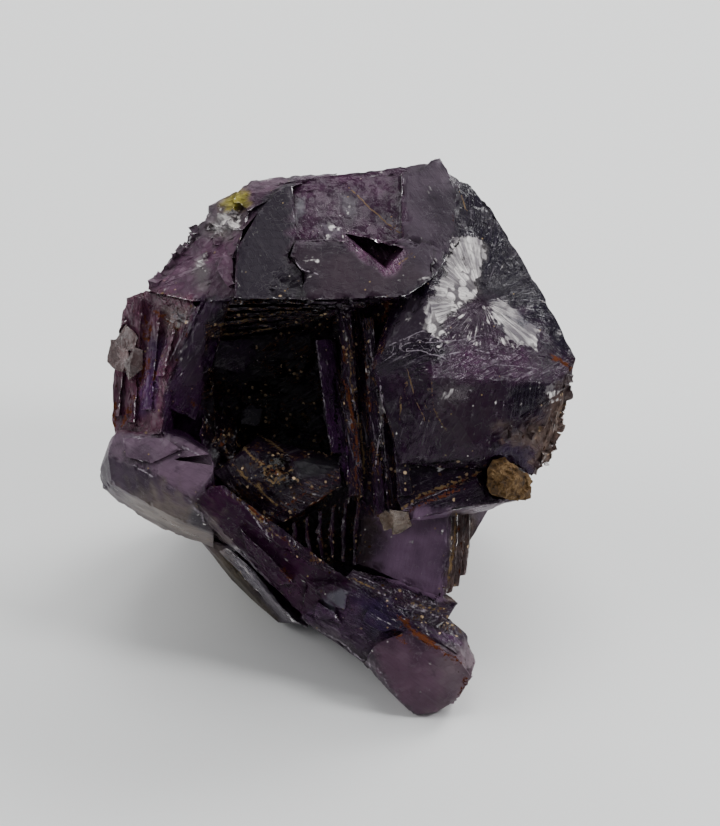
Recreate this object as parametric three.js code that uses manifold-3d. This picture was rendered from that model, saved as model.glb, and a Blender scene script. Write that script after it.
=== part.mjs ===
// A purple fluorite specimen as found: one mass of intergrown crystals round a dark, stepped hollow,
// with a lump of ochre matrix and two small growths of pale crystals on it.
//
// The crystals are written in the face frame: u to the right, v up and w towards the viewer, in
// millimetres. The face leans back, and the viewer looks straight at it from EYE away.
import * as THREE from "three";
import { ConvexGeometry } from "three/addons/geometries/ConvexGeometry.js";
import { mergeVertices } from "three/addons/utils/BufferGeometryUtils.js";
import Module from "manifold-3d";

const wasm = await Module();
wasm.setup();

// Driving dimensions
const EYE = 235; // from the middle of the specimen to the eye that the outlines are drawn for
const SIGHT_U = 3; // where the line of sight crosses the face
const SIGHT_V = 3;
const LEAN = 35; // degrees that the face leans back from upright
const TIP_HEIGHT = 28.2; // of the face frame's middle above the surface
const SHIFT_X = 0.435; // from the face frame's middle to the middle of the footprint
const SHIFT_Y = -5.381;
const SOCKET = 1.15; // how much larger than a small crystal its socket in the cluster is
const STEP_SHARE = 0.75; // of a back face that the step on it takes
const BLOCK_DEEP = 6; // how far a flat block on the back reaches into the crystal
const STEP_OUT = 3.2; // that the step's own body is moved back, so that it stands out by about 1 mm

const lean = new THREE.Matrix4()
  .makeTranslation(SHIFT_X, SHIFT_Y, TIP_HEIGHT)
  .multiply(new THREE.Matrix4().makeRotationX(THREE.MathUtils.degToRad(90 - LEAN)));

// A corner as it looks from EYE away: what lies nearer looks larger, so it is drawn in a little.
function corner([u, v, w]) {
  const draw = (EYE - w) / EYE;
  const seen = new THREE.Vector3(SIGHT_U + (u - SIGHT_U) * draw, SIGHT_V + (v - SIGHT_V) * draw, w);
  return seen.applyMatrix4(lean);
}

function solid(geometry) {
  const bare = geometry.clone();
  bare.deleteAttribute("normal");
  bare.deleteAttribute("uv");
  const merged = mergeVertices(bare, 1e-4);
  const vertProperties = new Float32Array(merged.attributes.position.array);
  const triVerts = new Uint32Array(merged.index.array);
  return new wasm.Manifold(new wasm.Mesh({ numProp: 3, vertProperties, triVerts }));
}

const middleOf = (points) =>
  points.reduce((sum, p) => sum.map((x, i) => x + p[i] / points.length), [0, 0, 0]);

const between = (a, b, part) => a.map((x, i) => x + (b[i] - x) * part);

const moved = (points, by) => points.map((p) => p.map((x, i) => x + by[i]));

const spreadOut = (points, by) => {
  const middle = middleOf(points);
  return points.map((p) => between(middle, p, by));
};

// Any crystal whose corners are all given.
function hull(corners) {
  return solid(new ConvexGeometry(corners.map(corner)));
}

// A crystal with the corners of its front given: its back is the same outline, moved and spread.
function gem(front, drop = [0, 0, -18], spread = 1) {
  return hull([...front, ...moved(spreadOut(front, spread), drop)]);
}

// A slab with a flat top of any outline: the top lies at w = at + along * u + up * v.
function slab(outline, { at, along = 0, up = 0, thick = 2 }) {
  const shape = new THREE.Shape(outline.map(([u, v]) => new THREE.Vector2(u, v)));
  const geometry = new THREE.ExtrudeGeometry(shape, { depth: thick, bevelEnabled: false });
  const place = geometry.attributes.position;
  for (let i = 0; i < place.count; i++) {
    const u = place.getX(i);
    const v = place.getY(i);
    const p = corner([u, v, place.getZ(i) - thick + at + along * u + up * v]);
    place.setXYZ(i, p.x, p.y, p.z);
  }
  return solid(geometry);
}

const join = (...pieces) => pieces.flat(3).reduce((all, piece) => all.add(piece));

// A steady stand-in for chance, from 0 to 1.
const chance = (n) => Math.abs(Math.sin(n * 12.9898) * 43758.5453) % 1;

// Small cube crystals strewn along a line on a face.
function druse(from, to, count, size, spread, seed) {
  return Array.from({ length: count }, (_, i) => {
    const n = seed + 7 * i;
    const onLine = between(from, to, (i + 0.5) / count);
    const place = onLine.map((x, k) => x + spread[k] * (chance(n + k) - 0.5));
    const edge = size * (0.7 + 0.6 * chance(n + 3));
    const cube = new THREE.BoxGeometry(edge, edge, edge * 1.2);
    cube.rotateX(chance(n + 4) * 3).rotateY(chance(n + 5) * 3).rotateZ(chance(n + 6) * 3);
    const { x, y, z } = corner(place);
    return solid(cube.translate(x, y, z));
  });
}

// The broken body of the specimen, behind the crystals.
function core() {
  return hull([
    [-27, 15, -7], [-28, 2, -7], [-29, -5, -6], [-19, -12, -8], [-13, -17, -12], [-4, -22, 0],
    [8, -26, 0], [14, -22, -2], [15, -10, 0], [24, -4, -6], [27, 6, -10], [17, 30, -12],
    [-8, 30, -14], [-19, 24, -10], [-12, 12, 0], [2, 14, 3],
    [-18, 12, -26], [-20, -5, -29], [-13, -14, -30], [12, -14, -33], [18, -3, -30], [17, 14, -28],
    [0, 21, -27],
  ]);
}

// The hollow: a dark opening in the middle of the face.
function hollow() {
  const mouth = [
    [-17.5, 15.3, 20], [-14.5, 18.4, 20], [4, 18.4, 20], [6, 8, 20], [3, -4, 20], [-3, -7, 20],
    [-12, -6, 20], [-18, -2, 20], [-18.5, 8, 20],
  ];
  return gem(mouth, [0.5, 0.5, -32], 0.86);
}

// The crown: the large upper crystal, its satin top face in three levels with a wedge-shaped pit.
function crownTop() {
  const body = hull([
    [-14, 18.5, 6.5], [10, 18.8, 10.5], [13.5, 37.3, -1.5], [-8, 34.6, -3],
    [-14, 17, -12], [9, 15, -12], [16, 30, -16], [-8, 29, -18],
  ]);
  const face = { along: 0.17, up: -0.65, thick: 3 };
  const left = slab(
    [
      [-14.3, 18.6], [-5, 18.5], [-4.8, 22], [-6.8, 24.4], [-5.6, 27.5], [-6.2, 34.2], [-8, 33.8],
      [-10.5, 31], [-13.8, 25.5],
    ],
    { ...face, at: 22.6 },
  );
  const front = slab(
    [
      [-5.2, 18.4], [9.5, 18.9], [13, 21.5], [13, 26], [9, 27], [6, 26.5], [-2, 26.8], [-5.8, 26.6],
      [-6.6, 24.4], [-4.6, 22],
    ],
    { ...face, at: 23.4 },
  );
  const right = slab(
    [
      [8.6, 25], [13, 21.3], [15, 24.5], [15.9, 28], [16.2, 33], [14.9, 36.3], [13.8, 37.9],
      [12.7, 37.5], [11.2, 36], [8.6, 35.9],
    ],
    { ...face, at: 23.3 },
  );
  const pit = gem(
    [[0.5, 27.3, 12], [3, 25, 14], [6.9, 22, 16], [9.5, 25.1, 14], [5.2, 26.2, 13]],
    [-0.3, 0.8, -12.8],
    0.8,
  );
  return join(body, left, front, right).subtract(pit);
}

// Thin plates stacked under the crown's front edge, stepping back into the hollow.
function crownPlates() {
  const plates = 6;
  return Array.from({ length: plates }, (_, i) => {
    const t = i / (plates - 1);
    const left = between([-15, 18.2, 5.5], [-17.2, 13.4, -5], t);
    const right = between([6, 18.3, 8], [-2.5, 15.8, -3], t);
    return hull([
      left, right, moved([left], [0, -0.55, -0.5])[0], moved([right], [0, -0.55, -0.5])[0],
      [left[0], 19, left[2] - 9], [right[0], 19, right[2] - 9],
    ]);
  });
}

// The crown's right side: the etched face that catches the light, and the dark face under its ridge.
function crownRight() {
  return hull([
    [12, 19, 11], [13.6, 36.6, -1], [18.3, 34.1, -0.6], [20.8, 31.1, -0.8], [24.1, 26, -0.4],
    [28.7, 18.2, 0.8], [32.6, 10.5, 2.5], [7, 13.5, 11], [4.5, 9.3, 10],
    [13, 7.8, 13], [31.2, 7, 4.2],
    [8.5, -4, 8.5], [20, -3.6, 7.5], [26.5, -5.8, 3], [28.2, -4, 2.4], [30.3, 0.5, 1.5],
    [29, 6, -14], [16, 29, -17], [8, -4, -20], [22, -2, -18], [4, 12, -14],
  ]);
}

// Druse of small cubes down the crown's right edge and on its dark face.
function rightDruse() {
  return [
    druse([31.5, 8.2, 2.6], [30.2, 1, 1.6], 9, 1.1, [0.3, 0.6, 1.4], 3),
    druse([29.8, 0, 1.8], [26.6, -5, 2.6], 8, 1.2, [0.3, 0.6, 1.2], 91),
    druse([21, 0.4, 7.8], [28, 0.4, 3.9], 10, 0.9, [1, 3, 0.3], 170),
  ];
}

// The granular shoulder at the upper left, in blocks that step down to the edge.
function shoulder() {
  return [
    gem(
      [
        [-14, 18.5, 5.5], [-20, 18.2, 3.5], [-26, 19.5, -1], [-24.5, 21.5, -3], [-21.5, 25.5, -5],
        [-14.3, 25, 1.5],
      ],
      [3, -1, -16],
      0.9,
    ),
    gem(
      [[-14.3, 24, 2.2], [-21.3, 24.6, -3.5], [-20.2, 26.2, -5], [-18.8, 29.3, -6], [-12, 31, -1]],
      [3, -1, -14],
      0.9,
    ),
    gem(
      [[-13, 28, 0.6], [-18.6, 28.4, -4], [-17.8, 31.4, -6.5], [-14, 33.4, -6], [-9, 32.5, -1.2]],
      [2, -1, -12],
      0.9,
    ),
    gem(
      [
        [-12.4, 30.5, -0.6], [-14.6, 32.6, -3], [-12, 34.9, -6], [-5, 35.6, -6], [0, 35.8, -5.5],
        [-6, 34, -1.2],
      ],
      [1, -2, -11],
      0.9,
    ),
    gem(
      [[-16.8, 22.8, 3.6], [-15.2, 20.2, 5.6], [-14.2, 20.6, 5.8], [-14.4, 24.4, 3.2], [-15.8, 25, 2.6]],
      [0.5, 0, -4],
      1.1,
    ),
    druse([-25.2, 20.4, -2], [-19, 28.4, -5.6], 9, 1.2, [0.6, 0.5, 1], 33),
    druse([-18, 23, -0.6], [-13.4, 32, -2.6], 7, 1, [2, 1, 0.5], 57),
  ];
}

// The stained block on the left: ribs side by side, with a face that falls away into the hollow.
function ribbedBlock() {
  const body = gem(
    [
      [-30.6, 0, -1], [-31, 2, -2], [-30.8, 8.3, -2.5], [-29.5, 17.5, -4], [-29, 18.8, -4.5],
      [-26.3, 19.8, -2.6], [-20.5, 19, 1.8], [-19.4, 17.4, 2.8], [-24, 5, 5], [-24.2, 0, 5.5],
    ],
    [3, -1, -14],
    0.9,
  );
  const inner = gem(
    [
      [-24.2, 4, 4.8], [-20.3, 16.4, 3], [-18, 19.4, 4], [-14.4, 19, 4.4], [-16.6, 15.4, -1],
      [-18.3, 10, -4], [-18.2, 5, -5], [-19.5, 2, -2],
    ],
    [0, 0, -14],
  );
  const ribs = [
    [[-30.4, 2.5, -0.2], [-29.3, 15.8, -1.6], 1.1],
    [[-28.3, 1.6, 2], [-27.4, 18.9, -1], 1.3],
    [[-26.2, 3.4, 3.8], [-25, 17.6, 1], 1.5],
    [[-24.4, 8, 4.9], [-22.3, 16.8, 2.2], 1.2],
  ].map(([foot, head, width]) => {
    const half = [[-width / 2, 0, 0], [width / 2, 0, 0.5]];
    return hull([
      ...half.map((by) => moved([foot], by)[0]), ...half.map((by) => moved([head], by)[0]),
      moved([foot], [0, 0, -4])[0], moved([head], [0, 0, -4])[0],
    ]);
  });
  return [body, inner, ribs];
}

// The pale block at the lower left: a satin top and a rounded underside that hangs clear.
function paleBlock() {
  const body = hull([
    [-31.2, -0.5, 0.5], [-30.3, 0.8, 0.5], [-24, 0.6, 4.5], [-21, -0.5, 6], [-17.3, -2.8, 7.5], [-17, -5, 8],
    [-18.3, -7, 8.3], [-20, -9, 8], [-25, -5.3, 7], [-28, -4.3, 5.8], [-31.5, -2.7, 2.8],
    [-32.7, -5, -3], [-32.2, -7.3, -5], [-30, -9.2, -6], [-27, -11.2, -7], [-24, -12.9, -8],
    [-21.5, -13.8, -8], [-17, -15.5, -8],
    [-31, -6.6, 2.6], [-26.5, -9.2, 4.5], [-21.4, -11.8, 5], [-17, -13.4, 3.5],
    [-29, -2, -14], [-20, 2, -20], [-16, -10, -20],
  ]);
  const notch = gem([[-22.5, -3.3, 9], [-17.2, -2.6, 12], [-17.2, -4.1, 12]], [0, 0, -5]);
  const step = slab(
    [[-29.5, -0.3], [-23.6, -0.4], [-21.2, -2], [-25.5, -3.9], [-29, -3]],
    { at: 12.8, along: 0.29, up: -0.32, thick: 1.5 },
  );
  return [join(body, step).subtract(notch)];
}

// The broken underside at the lower left, which the specimen stands on.
function heel() {
  return [
    hull([
      [-20, -13, -10], [-17, -15.6, -9.5], [-15.8, -17.3, -13], [-14.6, -19.8, -16.4], [-12.7, -21.7, -15.4],
      [-10.7, -23.4, -12.6], [-9.4, -24.6, -11], [-8.2, -25.8, -8.6], [-6.4, -25.9, -6],
      [-4, -20, -4], [-17, -8, -24], [-15, -13, -33], [-4, -15, -27],
    ]),
    hull([[8, -14, -28], [15, -11, -27], [17, -11.5, -32.5], [13, -14, -33.5], [9, -13, -33], [12, -6, -34]]),
  ];
}

// The long prism that runs down to the right, with a pale rim under it.
function longPrism() {
  return [
    hull([
      [-19.5, -9, 7.5], [-17.5, -7, 8], [-15.5, -6.8, 7.6], [-9.5, -13, 7.5], [-4, -17.2, 7], [2, -20, 6.4],
      [8, -25, 5],
      [-18.4, -11.6, 5.5], [-14, -15, 5.8], [-10, -19.6, 5.5], [-5, -24.6, 4.8], [1, -27, 4],
      [-17, -9, -10], [-12, -14, -12], [-4, -20, -8], [4, -24, -6],
    ]),
    hull([
      [-15.2, -15.4, 3.2], [-12.4, -17.6, 3.6], [-11, -19.6, 3.4], [-8.6, -23, 3], [-6.2, -25.3, 3],
      [-16.4, -15.9, -1], [-13.2, -17.9, -2], [-12.2, -19.6, -3], [-9.8, -22.5, -3], [-7.6, -25.4, -3],
      [-4, -26.4, -1], [-4, -24, -6], [-12, -16, -10],
    ]),
    gem(
      [[-13.5, -12.6, 8.2], [-9.3, -16.6, 8.2], [-5.8, -20.4, 7.9], [-8.2, -20.6, 7.2], [-12.6, -15.6, 7.4]],
      [0, 0, -4],
    ),
  ];
}

// The prong at the bottom: a long crystal that ends in a satin face, its tip on the surface.
function prong() {
  return [
    hull([
      [-4.5, -20, 6.6], [2, -20, 6.6], [8, -24, 6.6], [14, -26.4, 5.6], [16.5, -30, 7],
      [-5, -25.4, 4.4], [0, -28.6, 3.8], [4, -31.6, 4.2],
      [-6, -24, -10], [4, -26, -8], [12, -27, -6], [17, -28, 0],
    ]),
    hull([
      [5, -28.6, 8.2], [9, -26.8, 8], [16.4, -30.3, 7.4], [18.1, -33, 6.6], [17, -35.6, 6],
      [13.5, -38.1, 5.4], [10.5, -38.4, 5.2], [8, -36.2, 6.2], [6, -33, 7.2], [3.2, -31, 5],
      [18.9, -31, 3.4], [18.5, -29, 2.2], [17.6, -27, 1.6], [15.4, -24.8, 1.4], [16, -36, 1.6],
      [12, -37.6, 1], [4, -31.8, 1], [8, -36, 1], [12, -27, -5],
    ]),
    gem([[-3.2, -21, 7.4], [-1, -20.2, 7.8], [1.6, -21.4, 7.6], [1, -24, 7], [-1.6, -23.2, 6.8]], [0, 0, -3]),
    gem([[-2.8, -22.6, 6.8], [-0.6, -24, 7], [0.6, -26, 6.4], [-3.6, -25, 5.6]], [0, 0, -3]),
    gem([[4.4, -23.4, 7.4], [8.5, -25.2, 7.6], [10.4, -26.8, 7.4], [6, -27, 7.6], [3, -25.4, 7]], [0, 0, -3]),
    druse([18.2, -32, 5.6], [15.4, -36.6, 4.8], 6, 1, [0.3, 0.3, 1], 317),
  ];
}

// The lilac satin block under the ledge, its stepped right rim and the slab below its crack.
function lilacBlock() {
  const body = gem(
    [
      [3, -9.5, 3], [9.5, -10, 3.6], [15.2, -9.5, 3.8], [14.8, -18, 3.2], [14.3, -22.3, 2.8],
      [2, -17.3, 2.8], [2.4, -13, 3],
    ],
    [0, 1, -16],
  );
  const rims = Array.from({ length: 4 }, (_, i) => {
    const u = 15.6 + 0.85 * i;
    const w = 3 - 1.1 * i;
    const foot = -22 + 0.3 * i * i;
    return hull([
      [u, -11, w], [u - 3, -10, w + 0.2], [u, -17 + 0.4 * i, w - 0.3], [u - 0.7, foot, w - 0.2],
      [u - 4, foot, w - 0.2], [u, -10.5, w - 12], [u - 0.6, -19, w - 10],
    ]);
  });
  const below = hull([
    [2, -18.2, 5], [7, -20.4, 5.2], [13, -22.4, 4.6], [16.6, -23, 2.6], [14.8, -25.6, 4.4],
    [13.6, -26.2, 5], [9, -24, 6.4], [0, -20, 6.2],
    [15.6, -21.8, 0], [16.4, -22.8, 0], [14.6, -25, -6], [2, -20, -8],
  ]);
  return [body, rims, below];
}

// The ledge under the dark face, with a stained step across it.
function ledge() {
  return [
    hull([
      [8, -2, 6], [20, -2, 5.6], [24.5, -5, 3.4], [25, -8.8, 2.6], [22.5, -9.3, 4.6], [18, -9.8, 6.4],
      [9.6, -11.8, 7.4], [7.8, -9, 6.8],
      [10, -10, -6], [22, -7, -6], [19, -10.9, 0], [18, -4, -12], [9, -4, -12],
    ]),
    gem(
      [[11, -8.7, 7.8], [15, -7.2, 7.5], [19, -5.6, 6.9], [20.4, -8.8, 6.2], [18, -9.6, 6.9], [10, -11.5, 8]],
      [0, 0.2, -2],
    ),
  ];
}

// The columns between the hollow and the dark face, side by side.
function columns() {
  const edges = [
    [[-3.2, 13, 1.5], [-1, -2.6, 3.6], 3],
    [[-0.2, 17.6, 3], [1.3, -8.6, 4.6], 2.1],
    [[1.9, 18, 2.4], [3, -10.4, 3.6], 1.6],
    [[3.2, 16, 4.4], [4.8, -11.4, 5], 1.7],
    [[4.6, 12.4, 6.4], [6.8, -10.8, 6], 2],
    [[6.2, 9, 7.6], [8.2, -8.6, 7], 2],
  ].map(([head, foot, width], i) => {
    const right = [width, 0.3, i % 2 ? 0.5 : -1.1];
    const back = [width * 0.6, 0, -14];
    const ends = [head, foot];
    return hull([...ends, ...moved(ends, right), ...moved(ends, back)]);
  });
  const behind = hull([
    [-1, 18.6, -2], [5, 19.6, 2], [10.5, 19.6, 6], [13, 2, 6], [12, -11, 5], [3, -12, 2.4], [0, -4, 2],
    [2, 12, -13], [11, -8, -12],
  ]);
  return [edges, behind];
}

// The block in the lower hollow, and the blades that fan out below it.
function hollowBlock() {
  const block = hull([
    [-17, -5, 1.5], [-12.7, -1.8, 1.5], [-11, 0, -3.5], [-6, -1.6, -2], [0, -2.8, -0.5], [0.3, -4.7, 3.6],
    [-5, -6.3, 4.8], [-8.3, -6.7, 5.6], [0.5, -7, 3.2], [-6, -11.3, 3], [-9.5, -13, 2.6], [-10.5, -11.8, 3.2],
    [-15.5, -7, 2.6],
    [-14, -4, -16], [-2, -5, -16], [-6, -12, -14],
  ]);
  const blades = Array.from({ length: 6 }, (_, i) => {
    const t = i / 5;
    const head = between([-6.4, -12, 3.2], [2.8, -8, 3.4], t);
    const foot = between([-5.4, -16.4, 4], [2, -17.8, 4.2], t);
    return hull([
      head, foot, moved([head], [0.7, 0.2, -0.4])[0], moved([foot], [0.6, 0, -0.4])[0],
      moved([head], [0.2, 0.6, -9])[0], moved([foot], [0.2, 0, -9])[0],
      moved([between(head, foot, 0.5)], [-0.3, 0, 1])[0],
    ]);
  });
  return [block, blades];
}

// Steps and small crystals on the hollow's floor and its left wall.
function hollowFloor() {
  const steps = Array.from({ length: 5 }, (_, i) => {
    const w = -9.5 - 1.1 * i;
    const v = 11.5 - 2.3 * i;
    return hull([
      [-17.8, v + 1.4, w + 1], [-4, v + 3 - 0.4 * i, w - 0.4], [-3, v - 1, w - 0.6],
      [-17.5, v - 2.6, w + 0.6], [-17, v + 2, -22], [-4, v + 2, -22],
    ]);
  });
  return [
    steps,
    gem(
      [[-16.8, 12.9, -3.6], [-11.6, 13.2, -5.6], [-11, 11, -6], [-13, 8.2, -6], [-18.2, 9.6, -3.6]],
      [0, 0, -12],
    ),
    gem(
      [[-13.5, 3.5, -4.6], [-11.5, 4.6, -5.2], [-10.2, 3.6, -5], [-10.7, 1.1, -4.6], [-13.3, 1.4, -4.2]],
      [0.5, 0, -12],
    ),
    gem([[-18.3, 4, -3], [-14, 2.4, -6], [-13, -1.6, -5], [-17, -4.6, -1], [-19, 0, 0]], [0, 0, -12]),
    druse([-16, 5, -10.6], [-4, 8.5, -11.7], 9, 1.3, [1, 3, 0.8], 211),
    druse([-15, 1, -10.6], [-5, 1, -11.8], 6, 1.3, [1, 2, 0.6], 257),
  ];
}

// The back: broken cleavage faces. The upper ones have a smaller one raised on them in a low step,
// and flat blocks are left standing on the slope above.
function backCrystals() {
  const upper = [
    [[-16, 18, -20], [4, 24, -18], [12, 10, -32], [-6, 6, -34], [-20, 8, -24], [-12, 26, -12], [10, 28, -14]],
    [[14, 20, -16], [24, 12, -12], [24, 2, -16], [16, 0, -28], [12, 14, -27]],
  ];
  const steps = upper.map((corners) => moved(spreadOut(corners, STEP_SHARE), [0, 0, -STEP_OUT]));
  const lower = [
    [[-22, 4, -18], [-6, 8, -34], [-2, -8, -36], [-16, -9, -34], [-24, -4, -22], [-26, 8, -10]],
    [[4, 6, -34], [18, 8, -26], [21, -4, -24], [14, -10, -33], [2, -8, -35]],
    [[-7, 9, -30], [6, 9, -31], [7, -8, -32], [-7, -8, -32], [-7, -8, -20], [7, -8, -20], [0, 10, -20]],
  ];
  const onSlope = (outline, out) => outline.map(
    ([u, down]) => [u, 29 + 0.7 * (out - down), -18 - 0.7 * (out + down)],
  );
  const blocks = [
    { out: 1.3, outline: [[-15, 3], [-3, 0.5], [2.5, 7.5], [-3, 14], [-13, 12.6]] },
    { out: 2, outline: [[-11.5, 5], [-4.6, 3.4], [-1.4, 8], [-5.4, 11], [-10.6, 10.2]] },
    { out: 0.9, outline: [[4.6, 1], [17.6, 3.4], [18.6, 10], [12.6, 13.6], [5.4, 9.4]] },
    { out: 1.7, outline: [[10.4, 5.4], [16.2, 6.4], [16.8, 10], [12.4, 11]] },
    { out: 0.5, outline: [[-1.6, 15], [4.4, 9.6], [12.2, 14.6], [8, 17.6], [1, 18.4]] },
  ].map(({ out, outline }) => hull([...onSlope(outline, out), ...onSlope(outline, out - BLOCK_DEEP)]));
  return [[...upper, ...steps, ...lower].map(hull), blocks];
}

// A lump of ochre matrix held on the right edge.
const matrixLump = [
  [
    [21.3, -3.3, 6.6], [22.8, -3.1, 6.8], [24.6, -4.5, 6.6], [26.1, -5.5, 5.6], [26.7, -6.3, 4.6],
    [26.3, -8.6, 4.6], [25.3, -9, 5.4], [22.8, -8.7, 7.4], [20.8, -8, 7.8], [20.2, -6.5, 7.8],
    [20.5, -4.6, 7.4],
    [22, -5.2, 8.8], [24.2, -6, 8.2], [23, -7.8, 8.6], [21.2, -7, 8.8],
    [21, -5, 2.4], [25.6, -6, 1.6], [25.2, -8.4, 2], [21.4, -8, 2.6],
  ],
];

// The small colourless crystals on the left edge.
const paleCrystals = [
  [
    [-31.6, 10, -1.4], [-31.1, 13, -1.6], [-29.4, 13.4, 0.4], [-28.6, 11, 1.6], [-29.4, 8.6, 1.4],
    [-30.6, 9, 0], [-30.4, 10, -4], [-29, 12.4, -4], [-28.6, 9.4, -3.4],
  ],
  [
    [-30.6, 12.8, -1], [-29, 15.1, -0.8], [-27.4, 13.6, 0.8], [-27.8, 11.6, 1.8], [-29.6, 11.4, 1],
    [-29.4, 13.6, -4], [-28, 12.4, -3],
  ],
  [
    [-29.3, 9.6, 1.4], [-28.6, 7.4, 1.6], [-26.7, 9, 2.6], [-26.6, 11.6, 2.4], [-27.8, 12, 2.6],
    [-28.4, 9.6, 3], [-28.4, 9, -2.6], [-27.2, 10.6, -2.4],
  ],
];

// The small tan-pale crystals under the ledge's left end.
const ledgeCrystals = [
  [
    [5.5, -11, 7.4], [6.4, -10.3, 8], [7.7, -11, 9], [7.4, -12.8, 8.8], [6.3, -13.1, 7.8], [5.9, -12.2, 7.6],
    [6.4, -11.2, 4.4], [7, -12.6, 4.6],
  ],
  [
    [7, -10.2, 8.2], [9.6, -10.5, 8.4], [10.1, -12.4, 8], [8.6, -13.4, 8], [7.4, -13.7, 8.2],
    [7.6, -11.8, 9.3], [8.8, -11.8, 9.2], [9, -11, 4.4], [9, -12.8, 4.6], [7.6, -12.6, 4.6],
  ],
];

const growth = (crystals) => join(crystals.map(hull));

// The hole that a growth sits in: each of its crystals a little larger.
const socket = (crystals) => join(crystals.map((corners) => hull(spreadOut(corners, SOCKET))));

const cluster = join(
  core().subtract(hollow()),
  crownTop(), crownPlates(), crownRight(), rightDruse(), shoulder(),
  ribbedBlock(), paleBlock(), heel(), longPrism(), prong(), lilacBlock(), ledge(),
  columns(), hollowBlock(), hollowFloor(), backCrystals(),
);

const standing = [matrixLump, paleCrystals, ledgeCrystals]
  .reduce((rest, crystals) => rest.subtract(socket(crystals)), cluster)
  .trimByPlane([0, 0, 1], 0);

function mesh(name, manifold, colour, roughness) {
  const { vertProperties, triVerts, numProp } = manifold.getMesh();
  const position = new Float32Array((vertProperties.length / numProp) * 3);
  for (let i = 0; i < position.length / 3; i++)
    for (let k = 0; k < 3; k++) position[3 * i + k] = vertProperties[numProp * i + k];
  const geometry = new THREE.BufferGeometry();
  geometry.setAttribute("position", new THREE.BufferAttribute(position, 3));
  geometry.setIndex(new THREE.BufferAttribute(new Uint32Array(triVerts), 1));
  const surface = new THREE.MeshStandardMaterial({ color: colour, roughness, metalness: 0 });
  const made = new THREE.Mesh(geometry, surface);
  made.name = name;
  return made;
}

const specimen = new THREE.Group();
specimen.add(
  mesh("fluorite_cluster", standing, 0x4a2f63, 0.25),
  mesh("matrix_lump", growth(matrixLump), 0x8a6a3a, 0.9),
  mesh("pale_crystals", growth(paleCrystals), 0xd9c9cc, 0.2),
  mesh("ledge_crystals", growth(ledgeCrystals), 0xc9b08a, 0.4),
);
export default specimen;
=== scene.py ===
import math

import bmesh
import bpy
import numpy as np
from mathutils import Matrix, Vector, kdtree, noise


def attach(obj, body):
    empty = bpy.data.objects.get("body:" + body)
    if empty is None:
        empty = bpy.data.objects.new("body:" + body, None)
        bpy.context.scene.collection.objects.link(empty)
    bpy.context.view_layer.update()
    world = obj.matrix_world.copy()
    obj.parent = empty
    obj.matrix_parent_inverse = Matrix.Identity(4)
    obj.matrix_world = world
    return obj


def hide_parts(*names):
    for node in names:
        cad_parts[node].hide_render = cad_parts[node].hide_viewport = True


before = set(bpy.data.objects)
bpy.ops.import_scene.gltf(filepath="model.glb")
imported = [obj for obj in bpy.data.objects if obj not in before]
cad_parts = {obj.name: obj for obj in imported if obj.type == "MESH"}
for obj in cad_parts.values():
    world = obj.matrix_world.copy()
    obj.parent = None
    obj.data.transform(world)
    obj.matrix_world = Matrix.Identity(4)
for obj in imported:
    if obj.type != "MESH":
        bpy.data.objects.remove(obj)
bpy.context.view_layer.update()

# The camera: a phone-like lens a hand's breadth away, looking down at the face of the specimen.
# The face leans back, so the sight line falls square on it. Places on it are in millimetres:
# u to the right, v up the face, w towards the camera.
LEAN = math.radians(55)
MIDDLE = (0.435, -5.381, 28.2)
EYE = 235.0
SIGHT = 3.0

face_to_world = Matrix.Translation(Vector(MIDDLE) * 0.001)
face_to_world = face_to_world @ Matrix.Rotation(LEAN, 4, "X") @ Matrix.Scale(0.001, 4)
eye = bpy.data.cameras.new("eye")
eye.lens = 75
eye.sensor_width = 36
eye.clip_start = 0.01
camera = bpy.data.objects.new("camera", eye)
camera.location = face_to_world @ Vector((SIGHT, SIGHT, EYE))
camera.rotation_euler = (LEAN, 0, 0)
bpy.context.scene.collection.objects.link(camera)
bpy.context.scene.camera = camera


def seen(points):
    """Where world points, in metres, are seen on the face, in millimetres, and how near they are."""
    back = np.array(face_to_world.inverted())
    p = points @ back[:3, :3].T + back[:3, 3]
    nearer = EYE / (EYE - p[:, 2])
    return SIGHT + (p[:, 0] - SIGHT) * nearer, SIGHT + (p[:, 1] - SIGHT) * nearer, p[:, 2]


# The table: a plain pale board between soft panels of light, with a small window to the right.
# The window is what the etched face catches; the room behind the camera is dim.
TABLE = 3.0  # half its width, in metres

board = bpy.data.meshes.new("table")
board_corners = [(x * TABLE, y * TABLE, 0) for x, y in ((-1, -1), (1, -1), (1, 1), (-1, 1))]
board.from_pydata(board_corners, [], [(0, 1, 2, 3)])
paint = bpy.data.materials.new("table white")
paint.use_nodes = True
paint.node_tree.nodes["Principled BSDF"].inputs["Base Color"].default_value = (0.90, 0.91, 0.90, 1)
paint.node_tree.nodes["Principled BSDF"].inputs["Roughness"].default_value = 0.7
board.materials.append(paint)
table = bpy.data.objects.new("table", board)
bpy.context.scene.collection.objects.link(table)


def lamp(name, place, aim, width, height, power, colour=(1, 1, 1)):
    light = bpy.data.lights.new(name, "AREA")
    light.shape = "RECTANGLE"
    light.size = width
    light.size_y = height
    light.energy = power
    light.color = colour
    made = bpy.data.objects.new(name, light)
    made.location = place
    made.rotation_euler = (Vector(aim) - Vector(place)).to_track_quat("-Z", "Y").to_euler()
    bpy.context.scene.collection.objects.link(made)


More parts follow.
